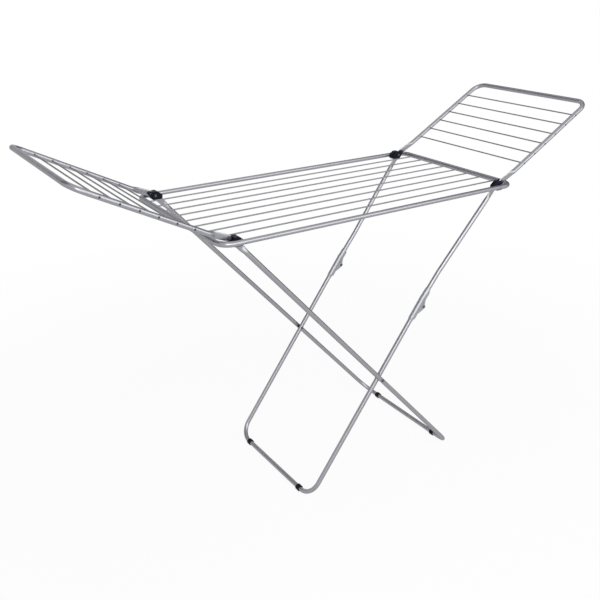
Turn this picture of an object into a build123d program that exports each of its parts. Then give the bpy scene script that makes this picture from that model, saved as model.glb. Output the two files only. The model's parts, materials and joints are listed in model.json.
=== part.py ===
from build123d import *
import math
import os

os.makedirs("parts", exist_ok=True)

# Deck: two rails, an end hoop at each end, and the hanging wires between the hoops
deck_height = 957.0
rail_spacing = 540.0
rail_dia = 14.0
hoop_reach = 530.0
hoop_arm = 58.0
hoop_bend = 38.0
hoop_dia = 16.0
socket_depth = 9.0
socket_gap = 0.1
deck_wire_count = 8
deck_wire_margin = 68.75
wire_dia = 4.4
wire_socket = 6.0
wire_gap = 0.05

# Hinge blocks, with a rivet for the leg and a rivet for the wing
pivot_inset = 45.0
pivot_lift = 3.0
wing_pivot_out = 15.0
wing_pivot_lift = 8.3
pin_dia = 5.0
pin_gap = 0.06
pin_head_dia = 9.0
pin_head_height = 1.8
head_ratio = 0.6
block_in = 24.0
block_out = 11.5
block_drop = 12.0
block_rise = 15.0
block_flank = 6.0
block_shoulder = 6.0
block_slope = 15.0
block_nose = 3.0
block_wall = 3.6
block_round = 3.0
block_bevel = 2.4
block_inset = 5.0
groove_place = 11.0
groove_pitch = 4.5
groove_width = 1.2
groove_depth = 0.8
lug_dia = 14.0
lug_thick = 7.0
saddle_gap = 0.1
slot_gap = 0.3

# Flattened tube ends
tube_dia = 15.0
flat_thick = 2.8
flat_width = 19.0
flat_length = 36.0
flat_run = 24.0
leg_eye_dia = 14.0
leg_eye_run = 18.0

# Wings
wing_inset = 20.3
wing_lead = 0.4
wing_bend_angle = 5.5
wing_bend_radius = 75.0
wing_reach = 373.3
wing_corner = 39.0
right_wing_angle = 24.5
left_wing_angle = 21.8
wing_wire_count = 6
wing_wire_first = 40.3
wing_wire_pitch = 52.45
wing_wire_show = 0.4

# Legs
slot_pitch = 6.2
leg_gap = 3.0
outer_foot_x = 373.0
inner_foot_x = -223.0
knee_ratio = 0.382976
knee_bow = 12.279
outer_corner = 60.0
inner_corner = 55.0
joggle_run = 48.0

# Feet
foot_dia = 21.0
foot_length = 17.0
foot_inset = 65.5
foot_axis_z = 10.0
foot_round = 1.5
foot_gap = 0.05

# Knee joints of the inner leg
knee_offset = 18.0
knee_drop = 5.3
knee_sleeve_dia = 18.6
knee_sleeve_length = 58.0
knee_mouth_dia = 16.6
knee_mouth = 8.0
knee_split = 0.6
knee_split_high = 32.0
knee_split_low = 8.6
knee_plug = 34.0
knee_ear_dia = 14.5
knee_ear_angle = 20.0
knee_web_low = 6.0
knee_web_high = 26.0
knee_web_root = 38.0
knee_tongue = 6.4
knee_cheek = 3.6
knee_play = 0.35
knee_rib = 12.6
knee_rib_width = 11.0
knee_round = 2.0
sleeve_gap = 0.05
knee_pin_dia = 5.0
knee_head_dia = 9.0
knee_head_height = 1.6

# Crossing rivets
cross_dia = 5.0
cross_head_dia = 9.5
cross_head_height = 1.8
spacer_dia = 13.5
cross_open = 0.3

half_rails = rail_spacing / 2
tube_r = tube_dia / 2
wire_r = wire_dia / 2
hoop_end = hoop_reach - hoop_arm
pivot_x = hoop_reach - pivot_inset
pivot_z = deck_height + pivot_lift
wing_pivot_x = pivot_x + wing_pivot_out
wing_pivot_z = pivot_z + wing_pivot_lift
slot_half = flat_thick / 2 + slot_gap
wing_half = half_rails - wing_inset
outer_half = wing_half - slot_pitch
inner_half = outer_half - tube_dia - leg_gap
block_inner_y = outer_half - slot_half - block_wall
block_outer_y = half_rails - block_inset
wing_seat_y = wing_half - slot_half
foot_place = inner_half - foot_inset


def point(x, y, z):
    return Vector(x, y, z)


def rounded_path(points, radii):
    edges = []
    at = points[0]
    for k in range(1, len(points) - 1):
        corner = points[k]
        back = (points[k - 1] - corner).normalized()
        ahead = (points[k + 1] - corner).normalized()
        half = math.radians(back.get_angle(ahead)) / 2
        radius = radii[k - 1]
        run = radius / math.tan(half)
        inward = (back + ahead).normalized()
        start = corner + back * run
        middle = corner + inward * (radius / math.sin(half) - radius)
        end = corner + ahead * run
        edges.append(Line(at, start))
        edges.append(ThreePointArc(start, middle, end))
        at = end
    edges.append(Line(at, points[-1]))
    return Wire(edges)


def across(origin, along):
    return Plane(origin=origin, x_dir=(0, 1, 0), z_dir=along)


def round_section(plane, radius):
    arcs = [CenterArc((0, 0), radius, -45 + 90 * k, 90) for k in range(4)]
    return plane * make_face(arcs)


def flat_section(plane):
    side = flat_thick / 2
    reach = flat_width / 2 - side
    right = Line((side, -reach), (side, reach))
    top = ThreePointArc((side, reach), (0, reach + side), (-side, reach))
    left = Line((-side, reach), (-side, -reach))
    bottom = ThreePointArc((-side, -reach), (0, -reach - side), (side, -reach))
    return plane * make_face([right, top, left, bottom])


def rod(start, along, length, radius):
    return extrude(round_section(across(start, along), radius), amount=length, dir=along)


def y_rod(x, y_from, y_to, z, radius):
    low = min(y_from, y_to)
    return Pos(x, (y_from + y_to) / 2, z) * Rot(90, 0, 0) * Cylinder(radius, max(y_from, y_to) - low)


def rivet_head(x, y, z, toward, dia, height):
    low = y_rod(x, y, y + toward * height, z, dia / 2)
    rim = low.faces().sort_by(Axis.Y)[-1 if toward > 0 else 0]
    return fillet(rim.edges(), height * head_ratio)


def flat_end(pivot, along, half_y, tube_y, run, eye_dia, eye_run):
    # Flattened plate with an eye at the pivot, then the blend into the round tube
    eye_at = point(pivot.X, half_y, pivot.Z)
    plate_at = eye_at + along * eye_run
    plate = extrude(flat_section(across(plate_at, along)), amount=flat_length - eye_run, dir=along)
    taper = Polyline(
        (0, -eye_dia / 2),
        (eye_run, -flat_width / 2),
        (eye_run, flat_width / 2),
        (0, eye_dia / 2),
        close=True,
    )
    nose = make_face(taper) + Circle(eye_dia / 2)
    low_face = Plane(origin=eye_at - point(0, flat_thick / 2, 0), x_dir=along, z_dir=(0, 1, 0))
    nose = extrude(low_face * nose, amount=flat_thick)
    blend_from = eye_at + along * flat_length
    blend_to = point(pivot.X, tube_y, pivot.Z) + along * (flat_length + run)
    blend = loft([flat_section(across(blend_from, along)), round_section(across(blend_to, along), tube_r)])
    bore = y_rod(pivot.X, half_y - tube_dia, half_y + tube_dia, pivot.Z, pin_dia / 2 + pin_gap)
    return plate + nose + blend - bore


def swept(path, radius):
    return sweep(round_section(across(path @ 0, path % 0), radius), path=path)


def hoop_path(side):
    start = point(side * hoop_end, -half_rails, deck_height)
    first = point(side * hoop_reach, -half_rails, deck_height)
    second = point(side * hoop_reach, half_rails, deck_height)
    end = point(side * hoop_end, half_rails, deck_height)
    return rounded_path([start, first, second, end], [hoop_bend, hoop_bend])


def hoop(side):
    out = point(side, 0, 0)
    cuts = []
    for edge in (-1, 1):
        mouth = point(side * hoop_end, edge * half_rails, deck_height)
        cuts.append(rod(mouth, out, socket_depth, rail_dia / 2 + socket_gap))
    for y in deck_wire_places:
        seat = point(side * (hoop_reach - hoop_dia), y, deck_height)
        cuts.append(rod(seat, out, hoop_dia / 2 + wire_socket, wire_r + wire_gap))
    return swept(hoop_path(side), hoop_dia / 2) - cuts


def block_prism(points, y_from, y_to):
    face = make_face(Polyline(*points, close=True))
    face = Plane(origin=(0, y_from, 0), x_dir=(1, 0, 0), z_dir=(0, -1, 0)) * face
    return extrude(face, amount=y_from - y_to)


def hinge_block():
    # Moulded block: a slot for the leg, an open seat for the wing and a saddle round the hoop
    low = deck_height - block_drop
    top = deck_height + block_rise
    inner_end = pivot_x - block_in
    outer_end = pivot_x + block_out
    outline = Polyline(
        (inner_end, deck_height - block_flank),
        (inner_end + block_shoulder, low),
        (outer_end - block_shoulder, low),
        (outer_end, deck_height - block_flank),
        (outer_end, deck_height + block_flank),
        (outer_end - block_shoulder, top),
        (inner_end + block_slope, top),
        (inner_end, deck_height + block_nose),
        close=True,
    )
    face = make_face(outline)
    face = fillet(face.vertices(), block_round)
    face = Plane(origin=(0, block_inner_y, 0), x_dir=(1, 0, 0), z_dir=(0, -1, 0)) * face
    block = extrude(face, amount=block_inner_y - block_outer_y)
    inner = block.faces().sort_by(Axis.Y)[0]
    block = chamfer(inner.edges(), block_bevel)
    lug_y = wing_seat_y - lug_thick
    lug_r = lug_dia / 2
    slant = lug_r * math.sqrt(0.5)
    block += y_rod(wing_pivot_x, lug_y, wing_seat_y, wing_pivot_z, lug_r)
    block += block_prism(
        [
            (pivot_x, deck_height - block_flank),
            (outer_end, deck_height - block_flank),
            (wing_pivot_x + slant, wing_pivot_z - slant),
            (wing_pivot_x - lug_r / 2, wing_pivot_z + slant),
            (pivot_x, top),
        ],
        lug_y,
        wing_seat_y,
    )
    far = hoop_reach
    eye = leg_eye_dia / 2 + slot_gap
    room = flat_width / 2 + slot_gap
    leg_slot = block_prism(
        [
            (pivot_x + eye, pivot_z - far),
            (pivot_x + eye, pivot_z + eye),
            (pivot_x, pivot_z + eye),
            (pivot_x - leg_eye_run, pivot_z + room),
            (pivot_x - far, pivot_z + room),
            (pivot_x - far, pivot_z - far),
        ],
        outer_half - slot_half,
        outer_half + slot_half,
    )
    wing_slot = Pos(pivot_x, wing_half, wing_pivot_z - room + far / 2) * Box(far, slot_half * 2, far)
    head_room = Pos(
        wing_pivot_x - flat_width / 2 + far / 2,
        wing_half + slot_half + far / 2,
        deck_height - block_nose + far / 2,
    ) * Box(far, far, far)
    mouth = point(hoop_end - saddle_gap, half_rails, deck_height)
    cuts = [leg_slot, wing_slot, head_room]
    cuts.append(swept(hoop_path(1), hoop_dia / 2 + saddle_gap))
    cuts.append(rod(mouth, point(1, 0, 0), saddle_gap * 2, hoop_dia / 2 + saddle_gap))
    cuts.append(rod(mouth, point(-1, 0, 0), far / 2, rail_dia / 2 + saddle_gap))
    cuts.append(y_rod(pivot_x, 0, wing_half, pivot_z, pin_dia / 2 + pin_gap))
    cuts.append(y_rod(wing_pivot_x, lug_y - lug_thick, wing_half, wing_pivot_z, pin_dia / 2 + pin_gap))
    for k in range(2):
        groove_x = pivot_x - groove_place - groove_pitch * k
        cuts.append(Pos(groove_x, block_inner_y, deck_height) * Box(groove_width, groove_depth * 2, far))
    return block - cuts


def hinge_pin(side, edge):
    tip = edge * (wing_seat_y - slot_gap)
    shank = y_rod(side * pivot_x, edge * block_inner_y, tip, pivot_z, pin_dia / 2)
    head = rivet_head(side * pivot_x, edge * block_inner_y, pivot_z, -edge, pin_head_dia, pin_head_height)
    return shank + head


def wing_pin(side, edge):
    x = side * wing_pivot_x
    outside = edge * (wing_half + slot_half)
    inside = edge * (wing_seat_y - lug_thick + slot_gap)
    shank = y_rod(x, inside, outside, wing_pivot_z, pin_dia / 2)
    return shank + rivet_head(x, outside, wing_pivot_z, edge, pin_head_dia, pin_head_height)


def wing_frame(side, rise):
    root = point(side * math.cos(math.radians(rise)), 0, math.sin(math.radians(rise)))
    slope = math.radians(rise + wing_bend_angle)
    arm = point(side * math.cos(slope), 0, math.sin(slope))
    pivot = point(side * wing_pivot_x, 0, wing_pivot_z)
    begin = pivot + root * (flat_length + flat_run)
    bend = pivot + root * wing_root
    tip = bend + arm * wing_reach
    across_y = point(0, wing_half, 0)
    near_side = [begin - across_y, bend - across_y, tip - across_y]
    far_side = [tip + across_y, bend + across_y, begin + across_y]
    path = rounded_path(near_side + far_side, [wing_bend_radius, wing_corner, wing_corner, wing_bend_radius])
    body = swept(path, tube_r)
    for edge in (-1, 1):
        body += flat_end(pivot, root, edge * wing_half, edge * wing_half, flat_run, flat_width, leg_eye_run)
    for k in range(wing_wire_count):
        at = bend + arm * (wing_wire_first + wing_wire_pitch * k)
        body -= y_rod(at.X, -wing_half * 2, wing_half * 2, at.Z, wire_r + wire_gap)
    return body


def wing_wire(side, rise, k):
    root = point(side * math.cos(math.radians(rise)), 0, math.sin(math.radians(rise)))
    slope = math.radians(rise + wing_bend_angle)
    arm = point(side * math.cos(slope), 0, math.sin(slope))
    bend = point(side * wing_pivot_x, 0, wing_pivot_z) + root * wing_root
    at = bend + arm * (wing_wire_first + wing_wire_pitch * k)
    reach = wing_half + tube_r + wing_wire_show
    return y_rod(at.X, -reach, reach, at.Z, wire_r)


def outer_leg():
    pivot = point(-pivot_x, 0, pivot_z)
    foot = point(outer_foot_x, 0, foot_axis_z)
    along = (foot - pivot).normalized()
    begin = pivot + along * (flat_length + flat_run)
    aside = point(0, outer_half, 0)
    corners = [begin - aside, foot - aside, foot + aside, begin + aside]
    path = rounded_path(corners, [outer_corner, outer_corner])
    body = swept(path, tube_r)
    for edge in (-1, 1):
        tube_y = edge * outer_half
        body += flat_end(pivot, along, tube_y, tube_y, flat_run, leg_eye_dia, leg_eye_run)
        body -= y_rod(cross.X, 0, edge * outer_half * 2, cross.Z, cross_dia / 2 + pin_gap)
    return body


def upper_leg(edge):
    pivot = point(pivot_x, 0, pivot_z)
    along = (knee_bend - pivot).normalized()
    begin = pivot + along * (flat_length + joggle_run)
    end = knee - along.cross(point(0, 1, 0)) * upper_offset - along * knee_plug
    aside = point(0, edge * inner_half, 0)
    stem = rod(begin + aside, along, (end - begin).length, tube_r)
    root_y = edge * outer_half
    return stem + flat_end(pivot, along, root_y, edge * inner_half, joggle_run, leg_eye_dia, leg_eye_run)


def inner_leg():
    foot = point(inner_foot_x, 0, foot_axis_z)
    along = (knee_bend - foot).normalized()
    top = foot + along * ((knee_bend - foot).length - knee_drop - knee_split)
    aside = point(0, inner_half, 0)
    corners = [top - aside, foot - aside, foot + aside, top + aside]
    path = rounded_path(corners, [inner_corner, inner_corner])
    body = swept(path, tube_r)
    for edge in (-1, 1):
        body -= y_rod(cross.X, 0, edge * inner_half * 2, cross.Z, cross_dia / 2 + pin_gap)
    return body


def knee_sleeve(offset, sign, reach):
    # Sleeve with a tapered mouth and a stiffening rib, drawn about the knee pivot
    end = sign * (knee_sleeve_length - knee_mouth)
    low = min(end, -sign * reach)
    high = max(end, -sign * reach)
    sleeve = Pos(-offset, 0, (low + high) / 2) * Cylinder(knee_sleeve_dia / 2, high - low)
    mouth = Cone(knee_sleeve_dia / 2, knee_mouth_dia / 2, knee_mouth)
    if sign < 0:
        mouth = Rot(180, 0, 0) * mouth
    sleeve += Pos(-offset, 0, end + sign * knee_mouth / 2) * mouth
    rib_from = knee_ear_dia / 2 + knee_play * 2
    rib_to = knee_sleeve_length - knee_mouth
    rib_at = Pos(-offset + knee_rib / 2, 0, sign * (rib_from + rib_to) / 2)
    rib = rib_at * Box(knee_rib, knee_rib_width, rib_to - rib_from)
    return sleeve + fillet(rib.faces().sort_by(Axis.X)[-1].edges(), knee_round)


def knee_ear(offset, sign, low_y, high_y, inner):
    ear_r = knee_ear_dia / 2
    turn = math.radians(knee_ear_angle)
    outline = Polyline(
        (ear_r * math.cos(turn), sign * ear_r * math.sin(turn)),
        (-offset + knee_rib, sign * knee_web_high),
        (-offset, sign * knee_web_root),
        *inner,
        close=True,
    )
    web = make_face(outline) + Circle(ear_r)
    web = Plane(origin=(0, low_y, 0), x_dir=(1, 0, 0), z_dir=(0, -1, 0)) * web
    return extrude(web, amount=low_y - high_y)


def knee_side(sign):
    # Space above or below the slanted split, with half the gap
    far = point(-knee_offset - knee_sleeve_dia / 2, 0, knee_split_high)
    near = point(-knee_offset + knee_sleeve_dia / 2, 0, knee_split_low)
    line = (near - far).normalized()
    out = line.cross(point(0, 1, 0)) * sign
    wide = knee_sleeve_length * 2
    first = far - line * wide - out * (knee_split / 2)
    last = near + line * wide - out * (knee_split / 2)
    corners = [first, last, last + out * wide, first + out * wide]
    return block_prism([(corner.X, corner.Z) for corner in corners], -wide, wide)


def knee_pin_bore():
    return y_rod(0, -tube_dia, tube_dia, 0, knee_pin_dia / 2 + pin_gap)


def knee_tongue_fitting(edge):
    half = knee_tongue / 2
    seat_at = Pos(-upper_offset, 0, knee_plug - sleeve_gap + knee_sleeve_length / 2)
    seat = seat_at * Cylinder(tube_r + sleeve_gap, knee_sleeve_length)
    shell = knee_sleeve(upper_offset, 1, 0) - seat
    shell = upper_frame(edge) * shell - lower_frame(edge) * knee_side(-1)
    inner = [(-upper_offset, knee_web_high), (-knee_web_low + knee_play * 2, knee_web_low)]
    tongue = knee_ear(upper_offset, 1, -half, half, inner)
    return shell + upper_frame(edge) * (tongue - [seat, knee_pin_bore()])


def knee_fork_fitting(edge):
    inside = knee_tongue / 2 + knee_play
    outside = inside + knee_cheek
    seat_at = Pos(-knee_offset, 0, -knee_split + sleeve_gap - knee_sleeve_length / 2)
    seat = seat_at * Cylinder(tube_r + sleeve_gap, knee_sleeve_length)
    shell = knee_sleeve(knee_offset, -1, knee_split_high) - knee_side(1)
    inner = [(-knee_offset, knee_web_low), (-knee_web_low, knee_web_low)]
    fork = knee_ear(knee_offset, -1, inside, outside, inner)
    fork += knee_ear(knee_offset, -1, -outside, -inside, inner)
    relief = Rot(90, 0, 0) * Cylinder(knee_ear_dia / 2 + knee_play, inside * 2)
    return lower_frame(edge) * (shell + fork - [seat, relief, knee_pin_bore()])


def knee_frame(edge, along):
    origin = knee + point(0, edge * inner_half, 0)
    return Plane(origin=origin, x_dir=point(0, 1, 0).cross(along), z_dir=along).location


def upper_frame(edge):
    return knee_frame(edge, upper_along)


def lower_frame(edge):
    return knee_frame(edge, lower_along)


def knee_pin(edge):
    reach = knee_tongue / 2 + knee_play + knee_cheek
    y = edge * inner_half
    pin = y_rod(knee.X, y - reach, y + reach, knee.Z, knee_pin_dia / 2)
    pin += rivet_head(knee.X, y - reach, knee.Z, -1, knee_head_dia, knee_head_height)
    return pin + rivet_head(knee.X, y + reach, knee.Z, 1, knee_head_dia, knee_head_height)


def foot(x, y):
    ring = y_rod(x, y - foot_length / 2, y + foot_length / 2, foot_axis_z, foot_dia / 2)
    ring = fillet(ring.edges().filter_by(GeomType.CIRCLE), foot_round)
    ring -= y_rod(x, y - foot_length, y + foot_length, foot_axis_z, tube_r + foot_gap)
    return ring - Pos(x, y, -foot_dia / 2) * Box(foot_dia * 2, foot_length * 2, foot_dia)


def crossing_rivet(edge):
    outside = edge * (outer_half + tube_r)
    inside = edge * (inner_half + tube_r + cross_open)
    return y_rod(cross.X, outside, inside, cross.Z, cross_dia / 2) + rivet_head(
        cross.X, outside, cross.Z, edge, cross_head_dia, cross_head_height
    )


def crossing_spacer(edge):
    along = (point(outer_foot_x, 0, foot_axis_z) - point(-pivot_x, 0, pivot_z)).normalized()
    inside = edge * (inner_half + tube_r + cross_open)
    ring = y_rod(cross.X, inside, edge * outer_half, cross.Z, spacer_dia / 2)
    start = cross + point(0, edge * outer_half, 0) - along * tube_dia * 2
    ring -= rod(start, along, tube_dia * 4, tube_r + sleeve_gap)
    return ring - y_rod(cross.X, 0, edge * outer_half * 2, cross.Z, cross_dia / 2 + pin_gap)


def crossing_tail(edge):
    inside = edge * (inner_half - tube_r)
    shank = y_rod(cross.X, inside, edge * (inner_half + tube_r - wire_gap), cross.Z, cross_dia / 2)
    return shank + rivet_head(cross.X, inside, cross.Z, -edge, cross_head_dia, cross_head_height)


# Places that several pieces share
wing_tangent = wing_bend_radius * math.tan(math.radians(wing_bend_angle / 2))
wing_root = flat_length + flat_run + wing_lead + wing_tangent
deck_wire_pitch = (rail_spacing - deck_wire_margin * 2) / (deck_wire_count - 1)
deck_wire_places = [(k - (deck_wire_count - 1) / 2) * deck_wire_pitch for k in range(deck_wire_count)]
inner_line = point(inner_foot_x - pivot_x, 0, foot_axis_z - pivot_z)
inner_side = point(0, 1, 0).cross(inner_line.normalized())
knee_bend = point(pivot_x, 0, pivot_z) + inner_line * knee_ratio + inner_side * knee_bow
lower_along = (knee_bend - point(inner_foot_x, 0, foot_axis_z)).normalized()
lower_out = point(0, 1, 0).cross(lower_along)
knee = knee_bend + lower_out * knee_offset - lower_along * knee_drop
upper_along = (point(pivot_x, 0, pivot_z) - knee_bend).normalized()
upper_offset = (knee - knee_bend).dot(point(0, 1, 0).cross(upper_along))
outer_along = (point(outer_foot_x, 0, foot_axis_z) - point(-pivot_x, 0, pivot_z)).normalized()
gap_x = inner_foot_x + pivot_x
gap_z = foot_axis_z - pivot_z
cross_run = (gap_x * lower_along.Z - gap_z * lower_along.X) / (
    outer_along.X * lower_along.Z - outer_along.Z * lower_along.X
)
cross = point(-pivot_x, 0, pivot_z) + outer_along * cross_run

nodes = {}
for side, name in ((-1, "left"), (1, "right")):
    nodes["hoop_" + name] = hoop(side)
rail_half = hoop_end + socket_depth - socket_gap
for edge, name in ((-1, "front"), (1, "rear")):
    rail_at = point(-rail_half, edge * half_rails, deck_height)
    nodes["rail_" + name] = rod(rail_at, point(1, 0, 0), rail_half * 2, rail_dia / 2)
wire_half = hoop_reach - hoop_dia / 2 + wire_socket - wire_gap
for k, y in enumerate(deck_wire_places):
    wire_at = point(-wire_half, y, deck_height)
    nodes["deck_wire_%d" % (k + 1)] = rod(wire_at, point(1, 0, 0), wire_half * 2, wire_r)
block_right = hinge_block()
block_left = mirror(block_right, about=Plane.YZ)
nodes["hinge_block_rear_right"] = block_right
nodes["hinge_block_rear_left"] = block_left
nodes["hinge_block_front_left"] = Rot(0, 0, 180) * block_right
nodes["hinge_block_front_right"] = Rot(0, 0, 180) * block_left
for side, end_name in ((-1, "left"), (1, "right")):
    for edge, edge_name in ((-1, "front"), (1, "rear")):
        nodes["hinge_pin_%s_%s" % (edge_name, end_name)] = hinge_pin(side, edge)
        nodes["wing_pin_%s_%s" % (edge_name, end_name)] = wing_pin(side, edge)
for side, name, rise in ((-1, "left", left_wing_angle), (1, "right", right_wing_angle)):
    nodes["wing_frame_" + name] = wing_frame(side, rise)
    for k in range(wing_wire_count):
        nodes["wing_wire_%s_%d" % (name, k + 1)] = wing_wire(side, rise, k)
nodes["outer_leg"] = outer_leg()
nodes["inner_leg"] = inner_leg()
for edge, name in ((-1, "front"), (1, "rear")):
    nodes["upper_leg_" + name] = upper_leg(edge)
    nodes["knee_tongue_" + name] = knee_tongue_fitting(edge)
    nodes["knee_fork_" + name] = knee_fork_fitting(edge)
    nodes["knee_pin_" + name] = knee_pin(edge)
    nodes["outer_foot_" + name] = foot(outer_foot_x, edge * foot_place)
    nodes["inner_foot_" + name] = foot(inner_foot_x, edge * foot_place)
    nodes["crossing_rivet_" + name] = crossing_rivet(edge)
    nodes["crossing_spacer_" + name] = crossing_spacer(edge)
    nodes["crossing_tail_" + name] = crossing_tail(edge)

# The origin lies on the floor, under the middle of the overall length
reach_left = nodes["wing_frame_left"].bounding_box().min.X
reach_right = nodes["wing_frame_right"].bounding_box().max.X
shift = -(reach_left + reach_right) / 2
for name, solid in nodes.items():
    export_step(Pos(shift, 0, 0) * solid, "parts/%s.step" % name)
print("shift", shift, "pivots", pivot_x + shift, -pivot_x + shift, pivot_z)
print("knee", knee.X + shift, knee.Z, "crossing", cross.X + shift, cross.Z)
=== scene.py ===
import json
from math import cos, pi, radians, sin, tan

import bpy
from mathutils import Matrix, Vector


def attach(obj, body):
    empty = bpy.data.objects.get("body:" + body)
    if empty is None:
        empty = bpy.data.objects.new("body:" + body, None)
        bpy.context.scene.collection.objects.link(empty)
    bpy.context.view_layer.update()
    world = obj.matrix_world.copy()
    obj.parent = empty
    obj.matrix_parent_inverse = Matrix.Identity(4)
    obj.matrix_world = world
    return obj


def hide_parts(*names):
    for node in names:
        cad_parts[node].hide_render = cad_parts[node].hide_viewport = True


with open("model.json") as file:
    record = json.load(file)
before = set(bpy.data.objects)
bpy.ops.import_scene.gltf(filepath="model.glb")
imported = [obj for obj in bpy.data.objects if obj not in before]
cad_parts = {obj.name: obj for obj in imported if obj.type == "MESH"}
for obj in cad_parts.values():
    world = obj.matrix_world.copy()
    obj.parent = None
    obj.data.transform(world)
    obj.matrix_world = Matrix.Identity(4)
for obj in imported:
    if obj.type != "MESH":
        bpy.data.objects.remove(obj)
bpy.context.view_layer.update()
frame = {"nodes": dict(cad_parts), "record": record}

# Sizes in metres and angles in degrees. Tubes and wires have the solids' radii and routes, and
# what differs is marked as the scene's own.
# X is measured from the middle of the deck, which lies this far along the frame's X.
MIDDLE = 0.00480957

# Deck
DECK_Z = 0.957
HOOP_R = 0.008
HOOP_X = 0.530
HOOP_END_X = 0.472
HOOP_BEND_R = 0.038
HOOP_MOUTH = 0.885           # the scene's own: inside of the open end, as a share of the outside
HOOP_RECESS = 0.008          # the scene's own: depth of the open end
RAIL_R = 0.007
RAIL_Y = 0.270
RAIL_HALF = 0.479            # the scene's own: ends out of sight in the hoops
DECK_WIRES = 8
DECK_WIRE_HALF = 0.52795
DECK_WIRE_PITCH = 0.0575

# Wings
WING_X = 0.500
WING_Y = 0.2497
WING_Z = 0.9683
WING_RISE = {"left": 21.8, "right": 24.5}
WING_BEND = 5.5
WING_BEND_R = 0.075
WING_BEND_GAP = 0.0004       # round tube between the flattened end and the bend
WING_ARM = 0.3733            # from the bend to the far bar
WING_CORNER_R = 0.039
WING_WIRES = 6
WING_WIRE_FIRST = 0.0403     # from the bend
WING_WIRE_PITCH = 0.05245

# Legs
TUBE_R = 0.0075
PIVOT_X = 0.485
PIVOT_Z = 0.960
OUTER_Y = 0.2435
OUTER_FOOT_X = 0.373
OUTER_BEND_R = 0.060
INNER_Y = 0.2255
INNER_FOOT_X = -0.223
INNER_BEND_R = 0.055
FOOT_Z = 0.010
KNEE_X = 0.204
KNEE_Z = 0.6035
LOWER_LEG_SHORT = 0.0059     # from the tube's end to where the two axes meet in the knee
UPPER_LEG_SHORT = 0.029      # the scene's own: ends out of sight in the sleeve
SLANT_RUN = 0.300            # the scene's own: the upper legs' way out to the blocks

# Flattened tube ends
FLAT_HALF_THICK = 0.0014
FLAT_HALF_WIDE = 0.0095
FLAT_LONG = 0.036
FLAT_RUN = 0.024
FLAT_STEPS = 6
LEG_EYE_R = 0.007
LEG_EYE_RUN = 0.018
EYE_TURNS = (20, 40, 58, 74, 86)

# Wires: each pair is a distance along the wire and the radius there. The solder collars, the
# rounded tips and the hammered ends are the scene's own.
WIRE_R = 0.0022
WIRE_SHOW = 0.0004
COLLAR_R = 0.0031
COLLAR_FILLET = ((0.0008, 0.0028), (0.0020, 0.0025), (0.0038, WIRE_R))
DECK_COLLAR_END = 0.0062
WING_COLLAR_END = 0.0158
WING_WIRE_TIP = [
    (0, 0.0014), (0.0002, 0.0019), (0.0005, WIRE_R), (0.0080, WIRE_R), (0.0085, COLLAR_R),
]
PEEN_SUNK = 0.0012
PEEN_PROFILE = [
    (0, 0.0030), (PEEN_SUNK, 0.0030), (0.0015, 0.0027),
    (0.0017, 0.0022), (0.0014, 0.0019), (0.0017, 0.0012),
]

# How finely the round forms are drawn
TUBE_SIDES = 32
WIRE_SIDES = 16
PEEN_SIDES = 20
BEND_STEP = 6
SMOOTH_ANGLE = 40
WELD = 0.00001
MIRROR_WELD = 0.00002

SIDES = ((-1, "left"), (1, "right"))
EDGES = ((-1, "front"), (1, "rear"))
ALONG_X = (1, 0, 0)
ALONG_Y = (0, 1, 0)


def at(x, y, z):
    return Vector((x + MIDDLE, y, z))


# Bench: how the tubes and wires are drawn out, bent, pressed and closed by hand
def clear_bench():
    if bpy.context.object is not None and bpy.context.object.mode != "OBJECT":
        bpy.ops.object.mode_set(mode="OBJECT")
    bpy.ops.object.select_all(action="DESELECT")


def begin_tube(name, start, facing, radius, sides=TUBE_SIDES):
    clear_bench()
    turn = Vector(facing).to_track_quat("Z", "Y").to_euler()
    bpy.ops.mesh.primitive_circle_add(
        vertices=sides, radius=radius, location=start, rotation=turn)
    piece = bpy.context.object
    piece.name = name
    piece.data.name = name
    bpy.ops.object.transform_apply(location=True, rotation=True, scale=True)
    bpy.ops.object.mode_set(mode="EDIT")
    bpy.ops.mesh.select_all(action="SELECT")
    return piece


def close_tube():
    bpy.ops.mesh.edge_face_add()


def begin_rod(name, start, facing, radius, sides=TUBE_SIDES):
    # The same with its first end closed
    piece = begin_tube(name, start, facing, radius, sides)
    close_tube()
    bpy.ops.mesh.select_all(action="SELECT")
    return piece


def draw_out(step):
    bpy.ops.mesh.extrude_region_move(TRANSFORM_OT_translate={"value": tuple(step)})


def squeeze(centre, scale):
    bpy.ops.transform.resize(value=scale, center_override=tuple(centre))


def bend_tube(centre, axis, angle):
    steps = max(3, int(round(angle / radians(BEND_STEP))))
    bpy.ops.mesh.spin(steps=steps, angle=-angle, center=tuple(centre), axis=tuple(axis))


def draw_route(start, corners, end, radii):
    # Straight runs from stop to stop, with a bend of the given radius at each corner
    here = Vector(start)
    stops = [Vector(start)] + [Vector(c) for c in corners] + [Vector(end)]
    for k, radius in enumerate(radii):
        corner = stops[k + 1]
        back = (stops[k] - corner).normalized()
        ahead = (stops[k + 2] - corner).normalized()
        half = back.angle(ahead) / 2
        tangent = corner + back * (radius / tan(half))
        centre = corner + (back + ahead).normalized() * (radius / sin(half))
        axis = (-back).cross(ahead).normalized()
        draw_out(tangent - here)
        bend_tube(centre, axis, pi - 2 * half)
        here = corner + ahead * (radius / tan(half))
    draw_out(Vector(end) - here)


def draw_half_u(name, corners, end, radii, tube_r=TUBE_R):
    # From the middle of a cross bar round its corner to the end of one arm
    start = Vector((corners[0].x, 0, corners[0].z))
    tube = begin_tube(name, start, ALONG_Y, tube_r)
    draw_route(start, corners, end, radii)
    return tube


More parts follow.
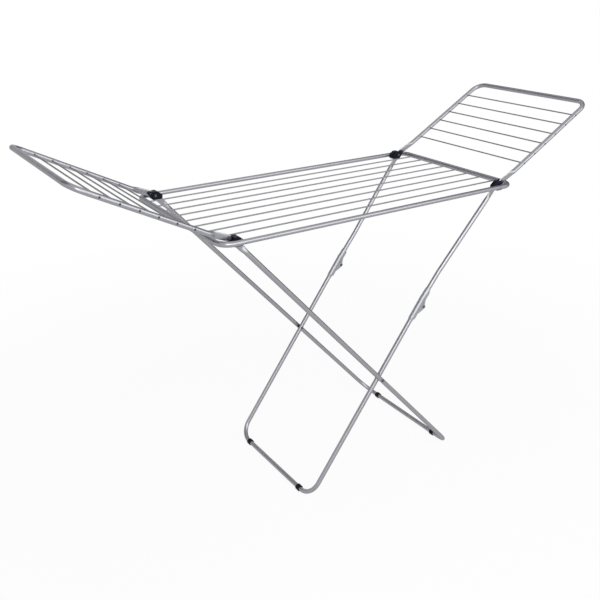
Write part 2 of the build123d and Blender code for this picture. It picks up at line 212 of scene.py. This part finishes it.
def press_flat(tube_end, pivot, eye, aside=0.0):
    # From the round tube through the blend to the flat plate, its neck and its rounded eye
    along = (Vector((pivot.x, 0, pivot.z)) - Vector((tube_end.x, 0, tube_end.z))).normalized()
    here, wide, thick = Vector(tube_end), TUBE_R, TUBE_R
    for k in range(1, FLAT_STEPS + 1):
        share = k / FLAT_STEPS
        target = Vector(tube_end) + along * FLAT_RUN * share + Vector((0, aside * share, 0))
        draw_out(target - here)
        pressed = share * share * (3 - 2 * share)
        new_wide = TUBE_R + (FLAT_HALF_WIDE - TUBE_R) * pressed
        new_thick = TUBE_R + (FLAT_HALF_THICK - TUBE_R) * pressed
        squeeze(target, (new_wide / wide, new_thick / thick, new_wide / wide))
        here, wide, thick = target, new_wide, new_thick
    plate_end = here + along * FLAT_LONG
    if eye < wide:
        neck = plate_end - along * LEG_EYE_RUN
        draw_out(neck - here)
        here = neck
    draw_out(plate_end - here)
    squeeze(plate_end, (eye / wide, 1, eye / wide))
    here, wide = plate_end, eye
    for turn in EYE_TURNS:
        target = plate_end + along * eye * sin(radians(turn))
        new_wide = eye * cos(radians(turn))
        draw_out(target - here)
        squeeze(target, (new_wide / wide, 1, new_wide / wide))
        here, wide = target, new_wide
    close_tube()


def leave_bench(piece, mirrored):
    bpy.ops.mesh.select_all(action="SELECT")
    bpy.ops.mesh.remove_doubles(threshold=WELD)
    bpy.ops.mesh.normals_make_consistent(inside=False)
    bpy.ops.object.mode_set(mode="OBJECT")
    if mirrored:
        twin = piece.modifiers.new("other side", "MIRROR")
        twin.use_axis = (False, True, False)
        twin.use_clip = True
        twin.merge_threshold = MIRROR_WELD
        bpy.ops.object.modifier_apply(modifier=twin.name)
    bpy.ops.object.shade_smooth_by_angle(angle=radians(SMOOTH_ANGLE))
    return piece


def draw_profile(start, along, profile):
    # A rod turned to the given radii at the given distances from its start
    here = Vector(start)
    wide = profile[0][1]
    for reach, radius in profile[1:]:
        target = Vector(start) + along * reach
        draw_out(target - here)
        share = radius / wide
        squeeze(target, (share, share, share))
        here, wide = target, radius


def collar_end(reach):
    # Where a solder collar ends and runs out onto the bare wire
    return [(reach, COLLAR_R)] + [(reach + run, radius) for run, radius in COLLAR_FILLET]


def draw_wire(name, start, along, length, near_end):
    # A wire with both of its ends alike
    far_end = [(length - reach, radius) for reach, radius in reversed(near_end)]
    wire = begin_rod(name, start, along, near_end[0][1], WIRE_SIDES)
    draw_profile(start, Vector(along), near_end + far_end)
    return leave_bench(wire, False)


def draw_deck_wire(name, y):
    start = at(-DECK_WIRE_HALF, y, DECK_Z)
    near_end = [(0, COLLAR_R)] + collar_end(DECK_COLLAR_END)
    return draw_wire(name, start, ALONG_X, 2 * DECK_WIRE_HALF, near_end)


def draw_wing_wire(name, place):
    half = WING_Y + TUBE_R + WIRE_SHOW
    start = Vector((place.x, -half, place.z))
    near_end = WING_WIRE_TIP + collar_end(WING_COLLAR_END)
    return draw_wire(name, start, ALONG_Y, 2 * half, near_end)


def peen_wire_ends(name, place):
    # The two hammered ends of a wing wire, outside the tubes it goes through; their dark finish is
    # painted shade of the open holes in the hollow tubes
    start = Vector((place.x, WING_Y + TUBE_R - PEEN_SUNK, place.z))
    ends = begin_rod(name, start, ALONG_Y, PEEN_PROFILE[0][1], PEEN_SIDES)
    draw_profile(start, Vector(ALONG_Y), PEEN_PROFILE)
    return leave_bench(ends, True)


def copy_piece(piece, name, step):
    clear_bench()
    piece.select_set(True)
    bpy.context.view_layer.objects.active = piece
    bpy.ops.object.duplicate(linked=False)
    twin = bpy.context.object
    twin.name = name
    twin.data.name = name
    twin.location = step
    bpy.ops.object.transform_apply(location=True, rotation=True, scale=True)
    return twin


def fit(piece, finish, body, slot, *nodes):
    piece.data.materials.clear()
    piece.data.materials.append(finish)
    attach(piece, body)
    if nodes:
        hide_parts(*nodes)


# Finishes
NOISE_REACH = (0.3, 0.7)     # most of a noise pattern's values lie between these


def new_finish(name):
    finish = bpy.data.materials.new(name)
    finish.use_nodes = True
    tree = finish.node_tree
    place = tree.nodes.new("ShaderNodeTexCoord")
    return finish, tree, tree.nodes["Principled BSDF"], place.outputs["Object"]


def grain(tree, place, scale, detail):
    noise = tree.nodes.new("ShaderNodeTexNoise")
    noise.inputs["Scale"].default_value = scale
    noise.inputs["Detail"].default_value = detail
    tree.links.new(place, noise.inputs["Vector"])
    return noise.outputs["Fac"]


def remap(tree, value, source, target):
    spread = tree.nodes.new("ShaderNodeMapRange")
    for name, level in zip(("From Min", "From Max", "To Min", "To Max"), source + target):
        spread.inputs[name].default_value = level
    tree.links.new(value, spread.inputs["Value"])
    return spread.outputs["Result"]


def colour_speckle(tree, shader, pattern, colours):
    ramp = tree.nodes.new("ShaderNodeValToRGB")
    for stop, position, colour in zip(ramp.color_ramp.elements, NOISE_REACH, colours):
        stop.position = position
        stop.color = colour + (1,)
    tree.links.new(pattern, ramp.inputs["Fac"])
    tree.links.new(ramp.outputs["Color"], shader.inputs["Base Color"])


def rough_patches(tree, shader, place, scale, rough):
    patches = remap(tree, grain(tree, place, scale, detail=3), NOISE_REACH, rough)
    tree.links.new(patches, shader.inputs["Roughness"])


def fine_bump(tree, shader, pattern, strength, distance):
    bump = tree.nodes.new("ShaderNodeBump")
    bump.inputs["Strength"].default_value = strength
    bump.inputs["Distance"].default_value = distance
    tree.links.new(pattern, bump.inputs["Height"])
    tree.links.new(bump.outputs["Normal"], shader.inputs["Normal"])


def silver_paint(name, low, high, metal, rough):
    finish, tree, shader, place = new_finish(name)
    flakes = grain(tree, place, scale=900, detail=2)
    colour_speckle(tree, shader, flakes, (low, high))
    rough_patches(tree, shader, place, scale=35, rough=rough)
    fine_bump(tree, shader, flakes, strength=0.03, distance=0.0002)
    shader.inputs["Metallic"].default_value = metal
    shader.inputs["Specular Tint"].default_value = (0.6, 0.6, 0.62, 1)
    return finish


def moulded(name, low, high, rough, skin_scale, skin_bump, gloss):
    finish, tree, shader, place = new_finish(name)
    skin = grain(tree, place, scale=skin_scale, detail=4)
    colour_speckle(tree, shader, skin, (low, high))
    rough_patches(tree, shader, place, scale=60, rough=rough)
    fine_bump(tree, shader, skin, strength=skin_bump, distance=0.0003)
    shader.inputs["Specular IOR Level"].default_value = gloss
    return finish


def matt_paper(name, colour):
    finish, tree, shader, place = new_finish(name)
    shader.inputs["Base Color"].default_value = colour + (1,)
    shader.inputs["Roughness"].default_value = 0.9
    shader.inputs["Specular IOR Level"].default_value = 0.0
    return finish, tree, shader, place


tube_silver = silver_paint(
    "tube_silver", low=(0.282, 0.283, 0.306), high=(0.338, 0.339, 0.364),
    metal=0.8, rough=(0.21, 0.31))
wire_silver = silver_paint(
    "wire_silver", low=(0.225, 0.226, 0.240), high=(0.275, 0.276, 0.292),
    metal=0.6, rough=(0.34, 0.44))
hinge_black = moulded(
    "hinge_black", low=(0.003, 0.004, 0.010), high=(0.007, 0.008, 0.017),
    rough=(0.38, 0.52), skin_scale=700, skin_bump=0.12, gloss=0.12)
foot_rubber = moulded(
    "foot_rubber", low=(0.004, 0.004, 0.006), high=(0.009, 0.009, 0.012),
    rough=(0.5, 0.66), skin_scale=900, skin_bump=0.2, gloss=0.12)
knee_grey = silver_paint(
    "knee_grey", low=(0.30, 0.305, 0.325), high=(0.35, 0.356, 0.378),
    metal=0.7, rough=(0.28, 0.38))
# Painted shade: a near-black finish for the wire ends that stands for the shade inside the holes
# in the hollow wing tubes
wire_end_painted_shade = silver_paint(
    "wire_end_painted_shade", low=(0.035, 0.035, 0.04), high=(0.07, 0.07, 0.075),
    metal=0.4, rough=(0.4, 0.55))
rivet_zinc = silver_paint(
    "rivet_zinc", low=(0.07, 0.07, 0.076), high=(0.11, 0.11, 0.117),
    metal=0.8, rough=(0.42, 0.54))

finish_of_slot = {
    "silver_tube": tube_silver,
    "wire_coat": wire_silver,
    "black_moulding": hinge_black,
    "black_rubber": foot_rubber,
    "grey_moulding": knee_grey,
    "rivet_steel": rivet_zinc,
}
for entry in frame["record"]["subparts"]:
    solid = frame["nodes"][entry["node"]]
    solid.data.materials.clear()
    solid.data.materials.append(finish_of_slot[entry["material_slot"]])

# Deck: hoops with a recess in their open ends, rails and wires
for side, name in SIDES:
    corner = at(side * HOOP_X, RAIL_Y, DECK_Z)
    end = at(side * HOOP_END_X, RAIL_Y, DECK_Z)
    hoop = draw_half_u("hoop_tube_" + name, [corner], end, [HOOP_BEND_R], HOOP_R)
    draw_out((0, 0, 0))
    squeeze(end, (1, HOOP_MOUTH, HOOP_MOUTH))
    draw_out((side * HOOP_RECESS, 0, 0))
    close_tube()
    leave_bench(hoop, True)
    fit(hoop, tube_silver, "deck", "silver_tube", "hoop_" + name)

for edge, name in EDGES:
    start = at(-RAIL_HALF, edge * RAIL_Y, DECK_Z)
    rail = begin_rod("rail_tube_" + name, start, ALONG_X, RAIL_R)
    draw_out((2 * RAIL_HALF, 0, 0))
    leave_bench(rail, False)
    fit(rail, tube_silver, "deck", "silver_tube", "rail_" + name)

first_wire = draw_deck_wire("deck_rod_1", -DECK_WIRE_PITCH * (DECK_WIRES - 1) / 2)
for k in range(DECK_WIRES):
    wire = first_wire
    if k > 0:
        wire = copy_piece(first_wire, "deck_rod_%d" % (k + 1), (0, DECK_WIRE_PITCH * k, 0))
    fit(wire, wire_silver, "deck", "wire_coat", "deck_wire_%d" % (k + 1))

# Wings: side tubes with their slight bend, the far bar, the flattened ends and the wires
for side, name in SIDES:
    rise = radians(WING_RISE[name])
    slope = radians(WING_RISE[name] + WING_BEND)
    root = Vector((side * cos(rise), 0, sin(rise)))
    arm = Vector((side * cos(slope), 0, sin(slope)))
    pivot = at(side * WING_X, WING_Y, WING_Z)
    knuckle = pivot + root * (FLAT_LONG + FLAT_RUN)
    lead = WING_BEND_GAP + WING_BEND_R * tan(radians(WING_BEND / 2))
    bend = pivot + root * (FLAT_LONG + FLAT_RUN + lead)
    tip = bend + arm * WING_ARM
    wing = draw_half_u("wing_tube_" + name, [tip, bend], knuckle, [WING_CORNER_R, WING_BEND_R])
    press_flat(knuckle, pivot, FLAT_HALF_WIDE)
    leave_bench(wing, True)
    fit(wing, tube_silver, name + "_wing", "silver_tube", "wing_frame_" + name)
    for k in range(WING_WIRES):
        place = bend + arm * (WING_WIRE_FIRST + WING_WIRE_PITCH * k)
        place.y = 0
        mark = "%s_%d" % (name, k + 1)
        if k == 0:
            first_place = place
            wire = first_wire = draw_wing_wire("wing_rod_" + name, place)
            ends = first_ends = peen_wire_ends("wing_rod_end_" + name, place)
        else:
            wire = copy_piece(first_wire, "wing_rod_" + mark, place - first_place)
            ends = copy_piece(first_ends, "wing_rod_end_" + mark, place - first_place)
        fit(wire, wire_silver, name + "_wing", "wire_coat", "wing_wire_" + mark)
        # The ends get the painted-shade finish, dark for the shade in the tube's holes
        fit(ends, wire_end_painted_shade, name + "_wing", "rivet_steel")

# Outer leg
pivot = at(-PIVOT_X, OUTER_Y, PIVOT_Z)
foot = at(OUTER_FOOT_X, OUTER_Y, FOOT_Z)
along = (foot - pivot).normalized()
knuckle = pivot + along * (FLAT_LONG + FLAT_RUN)
leg = draw_half_u("outer_leg_tube", [foot], knuckle, [OUTER_BEND_R])
press_flat(knuckle, pivot, LEG_EYE_R)
leave_bench(leg, True)
fit(leg, tube_silver, "outer_legs", "silver_tube", "outer_leg")

# Inner leg: lower U and the two upper tubes
foot = at(INNER_FOOT_X, INNER_Y, FOOT_Z)
knee = at(KNEE_X, INNER_Y, KNEE_Z)
along = (knee - foot).normalized()
leg = draw_half_u("inner_leg_tube", [foot], knee - along * LOWER_LEG_SHORT, [INNER_BEND_R])
close_tube()
leave_bench(leg, True)
fit(leg, tube_silver, "inner_lower_legs", "silver_tube", "inner_leg")

for edge, name in EDGES:
    pivot = at(PIVOT_X, edge * INNER_Y, PIVOT_Z)
    knee = at(KNEE_X, edge * INNER_Y, KNEE_Z)
    along = (knee - pivot).normalized()
    plug = knee - along * UPPER_LEG_SHORT
    slant_start = pivot + along * (FLAT_LONG + SLANT_RUN)
    knuckle = pivot + along * (FLAT_LONG + FLAT_RUN)
    aside = edge * (OUTER_Y - INNER_Y)
    flat_share = FLAT_RUN / SLANT_RUN
    shoulder = knuckle + Vector((0, aside * (1 - flat_share), 0))
    leg = begin_rod("upper_leg_tube_" + name, plug, -along, TUBE_R)
    draw_out(slant_start - plug)
    draw_out(shoulder - slant_start)
    press_flat(shoulder, pivot, LEG_EYE_R, aside * flat_share)
    leave_bench(leg, False)
    fit(leg, tube_silver, "inner_upper_legs", "silver_tube", "upper_leg_" + name)

# Studio: pale floor and surround, two lamps, grey cards and the camera
FLOOR_SIZE = 60
FLOOR_Z = -0.0004            # just under the feet
FLOOR_SHADE_REACH = (0.9, 2.6)
FLOOR_GLOW = (0.92, 1.0)     # under the rack, where its shadow shows, and beyond
SURROUND_LEVEL = (0.6, 1.0)  # as a light on the rack, and as it is seen or mirrored


def seen_share(tree):
    # One where the camera sees this, also in a mirror or through clear material, and else nothing
    path = tree.nodes.new("ShaderNodeLightPath")
    share = path.outputs["Is Camera Ray"]
    for ray in ("Is Glossy Ray", "Is Transmission Ray"):
        either = tree.nodes.new("ShaderNodeMath")
        either.operation = "MAXIMUM"
        tree.links.new(share, either.inputs[0])
        tree.links.new(path.outputs[ray], either.inputs[1])
        share = either.outputs["Value"]
    return share


def turn_to(place, aim, front):
    return (Vector(aim) - Vector(place)).to_track_quat(front, "Y")


clear_bench()
bpy.ops.mesh.primitive_plane_add(size=FLOOR_SIZE, location=(0, 0, FLOOR_Z))
floor = bpy.context.object
floor.name = "studio_floor"
pale_paper, tree, shader, place = matt_paper("pale_paper", (0.86, 0.86, 0.86))
glow = tree.nodes.new("ShaderNodeEmission")
glow.inputs["Color"].default_value = (1, 1, 1, 1)
away = tree.nodes.new("ShaderNodeVectorMath")
away.operation = "LENGTH"
tree.links.new(place, away.inputs[0])
share = tree.nodes.new("ShaderNodeMath")
share.operation = "MULTIPLY"
tree.links.new(seen_share(tree), share.inputs[0])
clearing = remap(tree, away.outputs["Value"], FLOOR_SHADE_REACH, FLOOR_GLOW)
tree.links.new(clearing, share.inputs[1])
blend = tree.nodes.new("ShaderNodeMixShader")
tree.links.new(share.outputs["Value"], blend.inputs["Fac"])
tree.links.new(shader.outputs["BSDF"], blend.inputs[1])
tree.links.new(glow.outputs["Emission"], blend.inputs[2])
tree.links.new(blend.outputs["Shader"], tree.nodes["Material Output"].inputs["Surface"])
floor.data.materials.append(pale_paper)

world = bpy.data.worlds.new("studio")
bpy.context.scene.world = world
world.use_nodes = True
tree = world.node_tree
surround = tree.nodes["Background"]
surround.inputs["Color"].default_value = (1, 1, 1, 1)
level = remap(tree, seen_share(tree), (0.0, 1.0), SURROUND_LEVEL)
tree.links.new(level, surround.inputs["Strength"])


def soft_box(name, place, aim, size, power):
    lamp = bpy.data.lights.new(name, "AREA")
    lamp.shape = "RECTANGLE"
    lamp.size, lamp.size_y = size
    lamp.energy = power
    stand = bpy.data.objects.new(name, lamp)
    bpy.context.scene.collection.objects.link(stand)
    stand.location = place
    stand.rotation_euler = turn_to(place, aim, "-Z").to_euler()
    stand.visible_camera = False


soft_box("front_box", place=(0, -3.5, 2.2), aim=(0, 0, 0.8), size=(7.0, 2.8), power=125)
soft_box("corner_box", place=(-1.7, -2.7, 3.0), aim=(-0.4, 0, 0.9), size=(1.3, 1.3), power=18)

# Grey cards round the back, out of the picture: the tubes show them as their darker tones
card_grey = matt_paper("card_grey", (0.34, 0.34, 0.36))[0]


def grey_card(name, place, aim, size, roll=0.0):
    clear_bench()
    facing = turn_to(place, aim, "Z").to_matrix()
    turned = (facing @ Matrix.Rotation(radians(roll), 3, "Z")).to_euler()
    bpy.ops.mesh.primitive_plane_add(size=size, location=place, rotation=turned)
    card = bpy.context.object
    card.name = name
    card.data.materials.append(card_grey)
    card.visible_camera = False


grey_card("grey_card_left", place=(-2.37, 2.10, 4.01), aim=(-0.37, -0.80, 1.41), size=4.4, roll=45)
grey_card("grey_card_right", place=(3.7, 0.9, 1.7), aim=(0, 0, 0.8), size=5.4)

# Camera, fitted to the rails, wires and legs in the photograph
CAMERA_PLACE = (-1.389717, -1.917387, 1.62524)
CAMERA_TILT = 66.17
CAMERA_HEADING = -33.667
view = bpy.data.cameras.new("view_camera")
view.sensor_width = 36
view.lens = 46.422
camera = bpy.data.objects.new("view_camera", view)
bpy.context.scene.collection.objects.link(camera)
camera.location = at(*CAMERA_PLACE)
camera.rotation_euler = (radians(CAMERA_TILT), 0, radians(CAMERA_HEADING))
bpy.context.scene.camera = camera
bpy.context.scene.view_settings.view_transform = "Standard"
